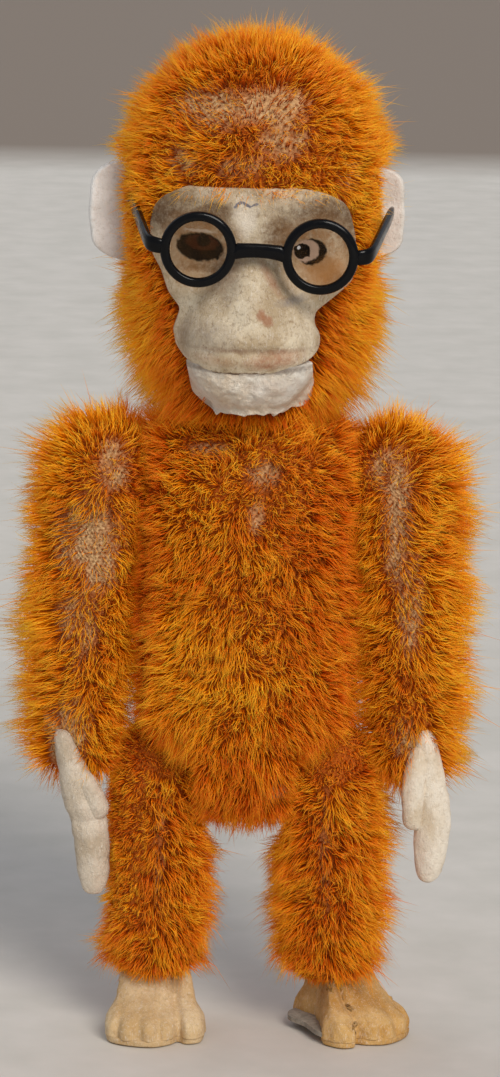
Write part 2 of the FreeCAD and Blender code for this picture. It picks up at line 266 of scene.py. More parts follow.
def growPile(name, skin, body, seed, panel=None):
    # hair on one sewn panel of a cover, as separate tapered strands drawn together in locks
    tree = bpy.data.node_groups.new(name, "GeometryNodeTree")
    tree.interface.new_socket("Skin", in_out="INPUT", socket_type="NodeSocketGeometry")
    tree.interface.new_socket("Hair", in_out="OUTPUT", socket_type="NodeSocketGeometry")
    desk = Desk(tree)
    skinIn = desk.add("NodeGroupInput", out="Skin")

    def named(label, kind="FLOAT"):
        return desk.add("GeometryNodeInputNamedAttribute", {"data_type": kind}, {"Name": label}, "Attribute")

    def chance(low, high, number, kind="FLOAT"):
        return desk.add("FunctionNodeRandomValue", {"data_type": kind}, {"Min": low, "Max": high, "Seed": number}, "Value")

    def scatter(perArea, number):
        node = tree.nodes.new("GeometryNodeDistributePointsOnFaces")
        node.distribute_method = "RANDOM"
        tree.links.new(skinIn.socket, node.inputs["Mesh"])
        tree.links.new((named("thick") * perArea).socket, desk.pick(node.inputs, "Density"))
        node.inputs["Seed"].default_value = number
        return Wire(desk, node.outputs["Points"]), Wire(desk, node.outputs["Normal"])

    here = desk.add("GeometryNodeInputPosition")
    comb, reach, tint = named("comb", "FLOAT_VECTOR"), named("reach"), named("tint")
    any3 = lambda number: chance((-1, -1, -1), (1, 1, 1), number, "FLOAT_VECTOR")

    locks, lockNormal = scatter(pile["locksPerArea"], seed + 50)
    lockAim = (lockNormal + comb + any3(3) * pile["lockFray"]) * (reach * chance(0.75, 1.2, 4) * pile["length"])
    strands, normal = scatter(pile["perArea"], seed)
    nearest = desk.add("GeometryNodeSampleNearest", {"domain": "POINT"}, {"Geometry": locks}, "Index")

    def fromLock(value, kind):
        return desk.add("GeometryNodeSampleIndex", {"data_type": kind, "domain": "POINT"},
                        {"Geometry": locks, "Value": value, "Index": nearest}, "Value")

    ownTip = here + (normal + comb + any3(5) * pile["fray"]) * (reach * (chance(0.62, 1.12, 6) + chance(0.0, 1.0, 12) ** 22 * 0.8) * pile["length"])
    lockTip = fromLock(here + lockAim, "FLOAT_VECTOR")
    hold = chance(0.35, 1.0, 7) * pile["clump"]
    aim = (ownTip + (lockTip - ownTip) * hold) - here
    rawLength = desk.add("ShaderNodeVectorMath", {"operation": "LENGTH"}, {0: aim}, "Value")
    stand = desk.add("ShaderNodeVectorMath", {"operation": "DOT_PRODUCT"}, {0: aim, 1: normal}, "Value")
    lift = desk.add("ShaderNodeMath", {"operation": "MAXIMUM"}, {0: rawLength * 0.3 - stand, 1: 0.0})
    aim = aim + normal * lift
    length = desk.add("ShaderNodeVectorMath", {"operation": "LENGTH"}, {0: aim}, "Value")
    bend = aim - normal * length
    tone = tint + fromLock(chance(-0.34, 0.34, 8), "FLOAT") + chance(-0.24, 0.24, 9)

    def store(geometry, label, value, kind, domain="POINT"):
        return desk.add("GeometryNodeStoreNamedAttribute", {"data_type": kind, "domain": domain},
                        {"Geometry": geometry, "Name": label, "Value": value})

    strands = store(strands, "bend", bend, "FLOAT_VECTOR")
    strands = store(strands, "tone", desk.limit(tone), "FLOAT")
    cone = desk.add("GeometryNodeMeshCone", {"fill_type": "NGON"}, {
        "Vertices": 3, "Side Segments": 2, "Radius Top": 0.0, "Radius Bottom": 1.0, "Depth": 1.0}, "Mesh")
    cone = store(cone, "rise", desk.split(here, "Z"), "FLOAT")
    cone = store(cone, "flank", desk.split(here, "X"), "FLOAT")
    upright = desk.add("FunctionNodeAlignRotationToVector", {"axis": "Z"}, {"Vector": normal})
    twist = desk.add("FunctionNodeAxisAngleToRotation", {}, {"Axis": (0, 0, 1), "Angle": chance(0, turn, 10)})
    facing = desk.add("FunctionNodeRotateRotation", {"rotation_space": "LOCAL"}, {"Rotation": upright, "Rotate By": twist})
    girth = chance(0.7, 1.3, 11) * pile["width"]
    size = desk.add("ShaderNodeCombineXYZ", {}, {"X": girth, "Y": girth, "Z": length})
    hair = desk.add("GeometryNodeInstanceOnPoints", {}, {
        "Points": strands, "Instance": cone, "Rotation": facing, "Scale": size})
    hair = desk.add("GeometryNodeRealizeInstances", {}, {"Geometry": hair})
    rise = named("rise")
    sway = desk.add("ShaderNodeTexNoise", {}, {"Vector": here, "Scale": 420.0, "Detail": 1.0}, "Color")
    sway = desk.add("ShaderNodeVectorMath", {"operation": "SUBTRACT"}, {0: sway, 1: (0.5, 0.5, 0.5)})
    offset = named("bend", "FLOAT_VECTOR") * (rise * rise) + sway * (rise * pile["wave"] * 2)
    hair = desk.add("GeometryNodeSetPosition", {}, {"Geometry": hair, "Offset": offset})
    strip = desk.add("ShaderNodeCombineXYZ", {}, {
        "X": named("tone") * 0.92 + 0.04 + named("flank") * 0.03, "Y": rise * 0.94 + 0.03})
    hair = store(hair, "OFBake", strip, "FLOAT2", "CORNER")
    hair = desk.add("GeometryNodeSetShadeSmooth", {}, {"Geometry": hair})
    hair = desk.add("GeometryNodeSetMaterial", {}, {"Geometry": hair, "Material": pileMaterial})
    desk.add("NodeGroupOutput", {}, {"Hair": hair})

    mesh = skin.data.copy()
    piece = bpy.data.objects.new(name, mesh)
    bpy.context.collection.objects.link(piece)
    if panel:
        thick = mesh.attributes["thick"].data
        for v, value in zip(mesh.vertices, thick):
            if not panel(v.co):
                value.value = 0.0
    piece.modifiers.new("hair", "NODES").node_group = tree
    applyAll(piece)
    for label in ("bend", "tone", "rise", "flank", "comb", "reach", "tint", "thick", "bare", "around"):
        layer = piece.data.attributes.get(label)
        if layer:
            piece.data.attributes.remove(layer)
    piece.data.materials.clear()
    piece.data.materials.append(pileMaterial)
    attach(piece, body)
    print(name, "has", len(piece.data.polygons) // 7, "strands")
    return piece


def makeSkin(name, rings, coat, body, replaced, side=1, flats=(), levels=2, trim=None):
    # the woven cover of one stuffed part, with how its hair grows written on it
    bm = stackRings([(z, side * x, y, halfX, halfY) for z, x, y, halfX, halfY in rings])
    skin = finishMesh(name, bm, clothMaterial)
    smooth = skin.modifiers.new("round", "SUBSURF")
    smooth.levels = smooth.render_levels = levels
    applyAll(skin)
    mesh = skin.data
    for v in mesh.vertices:
        for axis, low, high in flats:
            v.co[axis] = min(max(v.co[axis], low), high)
    if trim:
        trim(mesh)
    mesh.update()
    labels = ("thick", "reach", "tint", "bare", "around", "comb")
    for label in labels:
        mesh.attributes.new(label, "FLOAT_VECTOR" if label == "comb" else "FLOAT", "POINT")
    layers = {label: mesh.attributes[label].data for label in labels}
    middleX = side * rings[len(rings) // 2][1] * mm
    for i, v in enumerate(mesh.vertices):
        x, y, z = v.co.x / mm, (v.co.y - axisY) / mm, v.co.z / mm
        thick, reach, tint, bare, comb = coat(x, y, z, v.normal)
        at = Vector((x, y, z)) / pile["swirlSize"]
        comb = Vector(comb) + noise.noise_vector(at) * pile["swirl"] + noise.noise_vector(at * 2.7) * (0.6 * pile["swirl"])
        reach *= 1 + 0.3 * noise.noise(at * 1.9)
        tint += 0.2 * noise.noise(at * 1.3)
        layers["thick"][i].value = max(thick, 0.0)
        layers["reach"][i].value = max(reach, 0.05)
        layers["tint"][i].value = min(max(tint, 0.0), 1.0)
        layers["bare"][i].value = min(max(bare, 0.0), 1.0)
        layers["around"][i].value = math.atan2(v.co.x - middleX, axisY - v.co.y) * 9 * mm
        layers["comb"][i].vector = comb
    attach(skin, body)
    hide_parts(*replaced)
    return skin


def patch(x, z, centreX, centreZ, halfX, halfZ, soft=0.35):
    # 1 in the middle of a worn oval, 0 outside it
    far = math.hypot((x - centreX) / halfX, (z - centreZ) / halfZ)
    return min(max((1 + soft - far) / (2 * soft), 0.0), 1.0)


def grain(x, y, z, size, shift=0.0):
    return noise.noise(Vector((x / size + shift, y / size, z / size)))


# head
head = {
    "rings": [(77.9, 0, 0.3, 6.8, 6.6), (79.4, 0, 0.4, 8.8, 8.6), (83.4, 0, 0.5, 11.1, 11.2), (89.0, 0, 0.6, 13.6, 13.4),
              (97.0, 0, 0.7, 15.2, 14.8), (105.0, 0, 0.7, 15.6, 15.2), (111.5, 0, 0.7, 14.7, 14.4),
              (117.0, 0, 0.7, 12.1, 12.0), (120.6, 0, 0.7, 8.2, 8.0), (122.4, 0, 0.7, 3.7, 3.6)],
    "faceEdge": [(80.4, 3.5), (82.4, 5.8), (86.4, 6.9), (89.4, 7.6), (92.4, 7.2), (95.4, 9.0), (98.4, 10.9),
                 (102.4, 11.3), (105.9, 10.3), (107.6, 8.9)],
    "faceTop": 106.4,
    "whorl": (1.0, 118.5),  # where the crown's hair parts from, seen from the front
}


def between(pairs, at):
    # the value at a height in a table of (height, value), joined by straight lines
    for (z0, a), (z1, b) in zip(pairs, pairs[1:]):
        if at <= z1:
            return a + (b - a) * min(max((at - z0) / (z1 - z0), 0.0), 1.0)
    return pairs[-1][1]


def onFace(x, y, z, margin=0.0):
    inside = y < -4 and 80.4 - margin < z < head["faceTop"] + margin
    return inside and abs(x) < between(head["faceEdge"], z) + margin


def headCoat(x, y, z, normal):
    thick, reach, tint = 1.0, 1.0, 0.5
    if onFace(x, y, z):
        return 0.0, 0.3, 0.3, 0.0, (0, 0, 0)
    crown = min(max((z - 106) / 10, 0.0), 1.0)
    cheek = min(max((98 - z) / 12, 0.0), 1.0)
    fromWhorl = Vector((x - head["whorl"][0], y * 0.6, z - head["whorl"][1]))
    comb = fromWhorl.normalized() * 0.45 * crown + Vector((math.copysign(0.35, x), 0.0, -0.55)) * cheek
    front = y < 0
    bare = 0.0
    if front:
        bare = max(patch(x, z, -5.5, 116.2, 4.2, 2.1), patch(x, z, 1.5, 116.8, 4.9, 1.9), patch(x, z, 3.6, 112.8, 3.0, 1.6),
                   patch(x, z, -8.5, 110.0, 2.2, 1.6), 0.8 * patch(x, z, -1.5, 109.6, 2.4, 1.1),
                   0.8 * patch(x, z, 11.6, 108.6, 1.2, 1.7))
        bare = min(bare * (0.95 + 0.6 * grain(x, y, z, 1.3)), 1.0)
    if z < 79.0 and math.hypot(x, y) < 7.5:
        thick, reach = 0.2, 0.3
    if front and onFace(x, y, z, 1.4):
        reach = 0.75
        tuft = grain(x, 1, z, 1.6, 4)
        if z > 105:  # golden tufts fall over the top edge of the mask, with gaps between them
            reach, tint = 1.0 + 0.5 * tuft, tint + 0.3
            thick = 0.25 if tuft > 0.12 else 1.0
        comb += Vector((x * 0.03, -0.15, -0.35 - 0.9 * tuft if z > 105 else -0.2))
    if abs(x) > 12.5 and 95.0 < z < 108.5 and -5.0 < y < 3.4:
        reach = 0.5 if x < 0 else 0.28  # short in front of the ears
        thick = 0.3 if y > 0.3 else 0.9
    tint += 0.25 * grain(x, y, z, 5.0) + 0.16 * (abs(x) > 10) - 0.12 * crown + 0.1 * cheek
    if front and onFace(x, y, z, 3.0) and z < 100 or z < 81:
        tint -= 0.4  # darker, rustier hair in the fold beside the face and at the neck: partly the hair's own colour, partly painted shade
    reach *= 1 - 0.18 * crown
    reach *= 1.0 + 0.22 * grain(x, y, z, 3.5, 7)
    thick *= 1 - 0.9 * bare
    reach *= 1 - 0.25 * bare
    return thick, reach, tint + 0.2 * bare, bare, comb


headSkin = makeSkin("headCloth", head["rings"], headCoat, "head", ["head_cover", "head_stuffing"],
                    flats=[(2, 78.0 * mm, 1)])
growPile("headPileFront", headSkin, "head", 11, lambda p: p.y < axisY - 1 * mm and p.z > 98 * mm)
growPile("headPileCheeks", headSkin, "head", 12, lambda p: p.y < axisY - 1 * mm and p.z <= 98 * mm)
growPile("headPileBack", headSkin, "head", 13, lambda p: p.y >= axisY - 1 * mm and p.z > 100 * mm)
growPile("headPileNape", headSkin, "head", 14, lambda p: p.y >= axisY - 1 * mm and p.z <= 100 * mm)


# torso
torso = {
    "rings": [(28.3, 0, 0.0, 6.2, 4.6), (30.2, 0, -0.1, 9.4, 8.0), (36.0, 0, -0.3, 12.2, 10.1), (43.0, 0, -0.5, 13.6, 11.2),
              (52.0, 0, -0.3, 14.0, 11.2), (63.0, 0, 0.0, 14.2, 10.6), (71.0, 0, 0.2, 14.2, 9.8),
              (76.0, 0, 0.3, 12.6, 8.2), (77.8, 0, 0.3, 8.6, 6.0)],
    "side": 12.7, "keel": 5.35, "underside": 39.7,
}


def torsoCoat(x, y, z, normal):
    thick, reach, tint = 1.0, 1.0, 0.38
    comb = Vector((x * 0.022, 0, -0.3))
    low = min(max((46 - z) / 14, 0.0), 1.0)
    comb += Vector((x * 0.01, 0, -0.2)) * low
    reach -= 0.4 * min(max((34 - z) / 5, 0.0), 1.0)
    if z > 66:
        comb += Vector((0, 0, 0.25))
    bare = 0.0
    if y < 0:
        bare = max(0.8 * patch(x, z, 1.8, 72.0, 2.0, 1.4), 0.7 * patch(x, z, -4.6, 74.5, 2.4, 0.9),
                   patch(x, z, 3.8, 32.3, 1.7, 1.3), 0.7 * patch(x, z, 1.0, 67.0, 0.9, 2.2))
        bare = min(bare * (0.85 + 0.7 * grain(x, y, z, 1.2, 3)), 1.0)
    onJoint = abs(x) > 12.5 or z > 77.4 or (abs(x) > 5.0 and z < 39.5 and abs(normal.x) > 0.8)
    if onJoint:
        thick, reach = 0.45, 0.28
    tint += 0.28 * grain(x, y, z, 4.5, 11) - 0.2 * (abs(x) > 9)
    if y < 0:  # more golden on the belly's right half, rustier on the left half and at the hem
        tint += 0.3 * patch(x, z, -3.5, 47.0, 7.5, 9.5, 0.6) + 0.22 * patch(x, z, -6.5, 68.0, 4.0, 3.5, 0.6)
        tint -= 0.3 * patch(x, z, 8.0, 60.0, 5.0, 14.0, 0.7) + 0.45 * low
        if abs(x) > 10.8 and z > 36:
            reach, tint = 0.5, tint - 0.25  # lies low in the crease beside the arm, its hair painted darker there: painted shade
    reach *= 1.0 + 0.25 * grain(x, y, z, 3.2, 21)
    return thick * (1 - 0.9 * bare), reach * (1 - 0.4 * bare), tint, bare, comb


def cutHips(mesh):
    # square the lower corners away, so that the legs turn against a narrow keel
    keel, under = torso["keel"] * mm, torso["underside"] * mm
    for v in mesh.vertices:
        if v.co.z < under and abs(v.co.x) > keel:
            inward, upward = abs(v.co.x) - keel, under - v.co.z
            if inward < upward:
                v.co.x = math.copysign(keel, v.co.x)
            else:
                v.co.z = under


torsoSkin = makeSkin("torsoCloth", torso["rings"], torsoCoat, "torso", ["torso_cover", "torso_stuffing"],
                     flats=[(0, -torso["side"] * mm, torso["side"] * mm), (2, 0, 77.7 * mm)], levels=3, trim=cutHips)
growPile("torsoPileFrontLeft", torsoSkin, "torso", 21, lambda p: p.y < axisY and p.x > 0)
growPile("torsoPileFrontRight", torsoSkin, "torso", 22, lambda p: p.y < axisY and p.x <= 0)
growPile("torsoPileBackHigh", torsoSkin, "torso", 23, lambda p: p.y >= axisY and p.z > 53 * mm)
growPile("torsoPileBackLow", torsoSkin, "torso", 24, lambda p: p.y >= axisY and p.z <= 53 * mm)


# arms
arm = {
    "rings": [(33.2, 20.7, -0.3, 2.8, 3.0), (34.4, 20.7, -0.3, 4.2, 4.6), (39.0, 20.6, -0.3, 4.5, 5.3),
              (48.0, 20.0, 0.0, 5.1, 5.7), (58.0, 19.3, 0.2, 5.6, 6.0), (68.0, 18.2, 0.2, 6.6, 6.3),
              (72.4, 17.9, 0.0, 6.0, 5.8), (75.2, 17.6, 0.0, 4.3, 4.2), (76.4, 17.4, 0.0, 2.2, 2.2)],
    "inner": 13.0, "wrist": {1: 22.0, -1: 22.0},
}


def armCoat(side):
    def coat(x, y, z, normal):
        thick, reach, tint = 1.0, 1.0, 0.52
        out = side * normal.x
        comb = Vector((side * 0.12, 0, -0.22)) + Vector((side * 0.3 * max(out, 0), 0, 0))
        if z > 70:
            comb += Vector((0, 0, 0.3))
        bare = 0.0
        if y < -1:
            if side < 0:
                bare = max(patch(x, z, -19.8, 62.0, 4.3, 5.4), 0.6 * patch(x, z, -20.8, 52.0, 2.9, 5.5),
                           patch(x, z, -22.4, 38.5, 3.2, 4.0), 0.8 * patch(x, z, -16.5, 72.0, 2.0, 2.8))
                bare = min(bare * (0.85 + 1.2 * grain(x, y, z, 1.9, 5)), 1.0)
            else:
                bare = max(0.95 * patch(x, z, 18.2, 66.0, 1.8, 7.5), 0.9 * patch(x, z, 20.0, 55.0, 1.5, 5.5),
                           0.8 * patch(x, z, 17.0, 72.0, 2.2, 2.4), 0.8 * patch(x, z, 19.6, 38.0, 2.1, 1.9))
                bare = min(bare * (0.8 + 0.9 * grain(x, y, z, 1.0, 15)), 1.0)
        if side * x < 13.3:
            thick, reach = 0.45, 0.28
        elif side * x < 15.2 and y < 0:
            # lies low and darker where the arm meets the torso: painted shade in the crease
            reach, tint = 0.6, tint - 0.2
        if z < 40 and y < 0 and abs(side * x - arm["wrist"][side]) < 2.5 * (1 - (z - 32) / 9):
            thick, reach = 0.05, 0.25  # the slit that the hand comes out of
        tint += 0.25 * grain(x, y, z, 4.0, 31) + 0.12 * (out > 0.5)
        reach *= 1.0 + 0.25 * grain(x, y, z, 3.0, 41)
        return thick * (1 - 0.88 * bare), reach * (1 - 0.2 * bare), tint + 0.2 * bare, bare, comb
    return coat


for sideName, side, seed in (("left", 1, 31), ("right", -1, 35)):
    flat = sorted((side * arm["inner"] * mm, side * 1))
    sleeve = makeSkin(f"armCloth_{sideName}", arm["rings"], armCoat(side), f"arm_{sideName}",
                      [f"arm_{sideName}_cover", f"arm_{sideName}_stuffing"], side, flats=[(0, *flat)])
    growPile(f"armPileUpper_{sideName}", sleeve, f"arm_{sideName}", seed, lambda p: p.z > 55 * mm)
    growPile(f"armPileLower_{sideName}", sleeve, f"arm_{sideName}", seed + 1, lambda p: p.z <= 55 * mm)


# legs
leg = {
    "rings": [(7.2, 10.9, -0.6, 3.7, 4.2), (8.6, 10.9, -0.5, 4.9, 5.6), (15.0, 10.7, -0.2, 5.4, 6.3), (23.0, 10.5, 0.0, 5.7, 6.6),
              (32.5, 10.4, 0.0, 5.8, 6.7), (36.6, 10.5, 0.0, 5.0, 5.2), (38.6, 10.6, 0.0, 3.5, 2.9)],
    "inner": 5.65, "outer": 16.0,
}


def legCoat(side):
    def coat(x, y, z, normal):
        thick, reach, tint = 1.0, 0.95, 0.32
        comb = Vector((side * 0.08 * normal.x * side, 0, -0.45))
        bare = 0.5 * patch(x, z, side * 10.2, 24.0, 0.7, 7.0) if y < -2 else 0.0
        bare *= 0.5 + 0.9 * grain(x, y, z, 1.1, 25)
        if side * x < 6.0 and z > 24:
            thick, reach = 0.45, 0.28
        elif z > 34:
            # the top of the leg lies low and its hair takes the darkest colour: painted shade in the hollow at the hip
            reach, tint = 0.4, 0.0
        if z < 9:
            reach *= 0.8
        if side * normal.x < 0 and z < 12:  # hangs over the inner side of the heel
            reach, comb = 0.8, comb + Vector((0, 0, -0.35))
        if z < 9 and normal.z < -0.3:  # under the trouser end, clear of the ground
            reach, comb = 0.45, Vector((0, 0, 0))
        if side < 0 and normal.x < -0.25 and 15 < z < 34:
            reach *= 0.42  # pressed flat by the hand
        tint += 0.25 * grain(x, y, z, 4.0, 51) + 0.12 * (side * normal.x > 0.4)
        reach *= 1.0 + 0.25 * grain(x, y, z, 3.0, 61)
        return thick * (1 - 0.9 * bare), reach * (1 - 0.4 * bare), tint, bare, comb
    return coat


for sideName, side, seed in (("left", 1, 41), ("right", -1, 45)):
    flat = sorted((side * leg["inner"] * mm, side * leg["outer"] * mm))
    trouser = makeSkin(f"legCloth_{sideName}", leg["rings"], legCoat(side), f"leg_{sideName}",
                       [f"leg_{sideName}_cover", f"leg_{sideName}_stuffing"], side, flats=[(0, *flat)])
    growPile(f"legPile_{sideName}", trouser, f"leg_{sideName}", seed)
print("mohair grown")


# felt
def makeFelt(name, shade, pale, hollowTone, paint=None, speck=0.4, nap=0.22):
    # pressed wool felt: matted fibres, darker in the hollows of its bump and paler on its raised fibres; paint adds
    # what is airbrushed on it
    material, desk, shader = newMaterial(name, Roughness=0.96, Specular_IOR_Level=0.1, Sheen_Weight=0.04)
    where = desk.add("ShaderNodeTexCoord", out="Object")
    blotch = desk.cloud(where, 230, 3.0)
    fleck = desk.cloud(where, 1700, 5.0, 0.78, 0.6)
    fibre = desk.cloud(where * (1.0, 1.0, 0.3), 4200, 3.0, 0.6, 1.5)
    colour = desk.blend(desk.limit(blotch, 0.36, 0.64), shade, pale)
    colour = desk.blend(desk.limit(fleck, 0.5, 0.32, 0.0, speck), colour, hollowTone)
    colour = desk.blend(desk.limit(fibre, 0.52, 0.75, 0.0, 0.45), colour, (0.93, 0.87, 0.78))
    if paint:
        colour = paint(desk, where, colour)
    feed(desk, shader, Base_Color=colour, Normal=bump(desk, fleck + fibre * 0.6, nap * mm, 0.85))
    return material


def paintMarks(marks):
    # airbrushed and printed marks: (colour, centre, half sizes, strength, softness, lean in degrees), in millimetres
    def paint(desk, where, colour):
        fray = (desk.cloud(where, 1600, 3.0) - 0.5) * (0.7 * mm)
        patchy = desk.limit(desk.cloud(where, 1300, 4.0, 0.7), 0.35, 0.65, 0.55, 1.25)
        x, z = desk.split(where, "X") + fray, desk.split(where, "Z") - fray - 0.9 * mm
        for shade, centre, size, strength, soft, lean in marks:
            across, up = x - centre[0] * mm, z - centre[1] * mm
            c, s = math.cos(math.radians(lean)), math.sin(math.radians(lean))
            wide = (across * c + up * s) / (size[0] * mm) if lean else across / (size[0] * mm)
            tall = (up * c - across * s) / (size[1] * mm) if lean else up / (size[1] * mm)
            cover = desk.limit(wide * wide + tall * tall, 1 + soft, max(1 - soft, 0.0), 0.0, strength)
            if soft > 0.7:
                cover = cover * patchy  # thin paint sits unevenly on the felt
            colour = desk.blend(cover, colour, shade)
        return colour
    return paint


umber, soot, chestnut = (0.13, 0.06, 0.022), (0.002, 0.0015, 0.0015), (0.17, 0.045, 0.014)
# the brown round the eyes is airbrush, with the lenses' tint and the mohair's reflection in them painted onto the felt
# behind
blushAndLensTint, slate, cream = (0.34, 0.165, 0.06), (0.2, 0.19, 0.21), (0.85, 0.75, 0.62)
rustMark, ochre, darkEye = (0.34, 0.13, 0.06), (0.36, 0.16, 0.045), (0.045, 0.01, 0.003)
faceMarks = [
    (umber, (-7.8, 102.8), (5.4, 3.2), 0.6, 0.9, 0), (umber, (-11.0, 103.4), (2.2, 2.6), 0.7, 0.9, 0),
    (umber, (-5.0, 103.4), (2.2, 1.2), 0.75, 0.9, 20), (umber, (6.8, 102.2), (5.8, 3.3), 0.6, 0.9, 10),
    (umber, (3.0, 100.9), (1.6, 1.9), 0.75, 0.9, 0), (umber, (8.6, 103.7), (3.0, 1.6), 0.7, 0.9, 0),
    (umber, (11.6, 101.0), (1.2, 3.0), 0.6, 0.9, 0), ((0.3, 0.17, 0.07), (-9.8, 95.6), (2.0, 2.6), 0.35, 0.9, 0), (cream, (-1.0, 103.2), (1.3, 2.2), 0.6, 0.8, 0),
    (slate, (-1.75, 104.6), (0.7, 0.2), 0.95, 0.3, 35), (slate, (-0.85, 104.6), (0.62, 0.2), 0.95, 0.3, -32),
    (slate, (0.0, 104.65), (0.55, 0.18), 0.9, 0.3, 18),
    # the grey-brown on the nose bridge's left flank is painted shade
    ((0.22, 0.17, 0.13), (-3.0, 96.6), (1.5, 3.2), 0.55, 0.9, 0), (blushAndLensTint, (-6.2, 99.0), (4.3, 4.3), 0.72, 0.75, 0),
    # the yellow-orange low under the toy's left lens is the mohair's reflection in that lens, painted on the felt
    (blushAndLensTint, (7.4, 98.4), (4.2, 4.2), 0.65, 0.75, 0), (ochre, (8.2, 96.6), (2.6, 1.9), 0.6, 0.7, -25), (umber, (-6.0, 96.9), (3.4, 0.6), 0.5, 0.9, 0),
    (soot, (-6.3, 99.2), (2.85, 1.7), 1.0, 0.12, -4), (darkEye, (-6.1, 99.75), (1.95, 0.95), 0.95, 0.2, -4),
    (soot, (-5.9, 99.95), (0.78, 0.8), 1.0, 0.15, 0), (cream, (-6.4, 101.2), (1.8, 0.22), 0.4, 0.6, -4),
    (soot, (7.0, 98.8), (1.75, 1.6), 1.0, 0.12, 0), ((0.5, 0.33, 0.23), (6.35, 98.95), (1.55, 1.32), 1.0, 0.14, 0),
    # the white dot beside the pupil of the toy's left eye is a painted glint
    (soot, (5.85, 98.9), (0.97, 0.97), 1.0, 0.12, 0), ((0.9, 0.9, 0.9), (5.5, 99.25), (0.22, 0.22), 0.9, 0.3, 0),
    (rustMark, (1.1, 91.95), (0.55, 0.65), 0.7, 0.6, 0), (rustMark, (1.85, 91.3), (0.6, 0.65), 0.7, 0.6, 0),
    (rustMark, (2.1, 96.0), (0.5, 2.3), 0.5, 0.9, 31), (slate, (4.8, 93.35), (1.8, 0.5), 0.45, 0.9, 8),
    # the dark brown line across the groove above the upper lip is painted shade
    ((0.25, 0.2, 0.17), (-5.4, 88.8), (3.0, 2.0), 0.4, 0.9, 0), ((0.22, 0.12, 0.07), (0.0, 87.7), (6.4, 0.35), 0.55, 0.8, 0),
    # the dark band along the mask's lower edge is painted shade in the mouth seam
    ((0.36, 0.13, 0.06), (2.7, 86.6), (3.3, 1.0), 0.6, 0.8, 8), ((0.4, 0.2, 0.1), (-4.5, 86.4), (2.6, 0.6), 0.4, 0.9, -6), ((0.1, 0.045, 0.025), (-0.8, 84.7), (5.6, 0.3), 0.85, 0.6, 0),
]
maskFelt = makeFelt("maskFelt", (0.48, 0.36, 0.22), (0.74, 0.62, 0.44), (0.26, 0.16, 0.08), paintMarks(faceMarks), 0.75)
chinFelt = makeFelt("chinFelt", (0.84, 0.68, 0.5), (0.99, 0.92, 0.8), (0.55, 0.38, 0.24), paintMarks(
    # the dark band along the chin's top edge is painted shade in the mouth seam
    [((0.12, 0.06, 0.035), (-0.6, 85.3), (7.4, 0.6), 0.7, 0.6, 0), ((0.5, 0.34, 0.25), (2.5, 83.2), (3.0, 1.0), 0.35, 0.9, 0)]), nap=0.6)
earFelts = {"left": makeFelt("earFeltPale", (0.68, 0.61, 0.53), (0.85, 0.79, 0.71), (0.36, 0.28, 0.2)),
            "right": makeFelt("earFeltGrey", (0.76, 0.72, 0.66), (0.93, 0.9, 0.85), (0.45, 0.37, 0.28))}
handFelts = {"left": makeFelt("handFeltPale", (0.68, 0.55, 0.39), (0.84, 0.74, 0.6), (0.4, 0.28, 0.17)),
             "right": makeFelt("handFeltWorn", (0.52, 0.42, 0.3), (0.72, 0.62, 0.49), (0.26, 0.19, 0.13))}
footFelts = {"left": makeFelt("footFeltOchre", (0.5, 0.25, 0.055), (0.68, 0.42, 0.16), (0.26, 0.12, 0.03)),
             "right": makeFelt("footFeltTan", (0.56, 0.36, 0.16), (0.72, 0.53, 0.3), (0.3, 0.17, 0.07))}


def feltSheet(name, felt, edges, low, high, front, thick, columns=30, rows=26):
    # a shaped piece of felt standing in front of the surface it is sewn to; edges gives its two sides at a height
    bm = bmesh.new()
    bmesh.ops.create_grid(bm, x_segments=columns, y_segments=rows, size=1.0)
    for v in bm.verts:
        up = (v.co.y + 1) / 2
        z = low + (high - low) * up
        first, last = edges(z)
        x = first + (last - first) * (v.co.x + 1) / 2
        v.co = front(x, z)
    bmesh.ops.recalc_face_normals(bm, faces=bm.faces)
    if sum(f.normal.y for f in bm.faces) > 0:
        bmesh.ops.reverse_faces(bm, faces=bm.faces)
    piece = finishMesh(name, bm, felt)
    wall = piece.modifiers.new("felt", "SOLIDIFY")
    wall.thickness, wall.offset = thick * mm, -1.0
    smooth = piece.modifiers.new("round", "SUBSURF")
    smooth.levels = smooth.render_levels = 2
    return applyAll(piece)


def hump(x, z, centreX, centreZ, halfX, halfZ):
    return math.exp(-((x - centreX) / halfX) ** 2 - ((z - centreZ) / halfZ) ** 2)


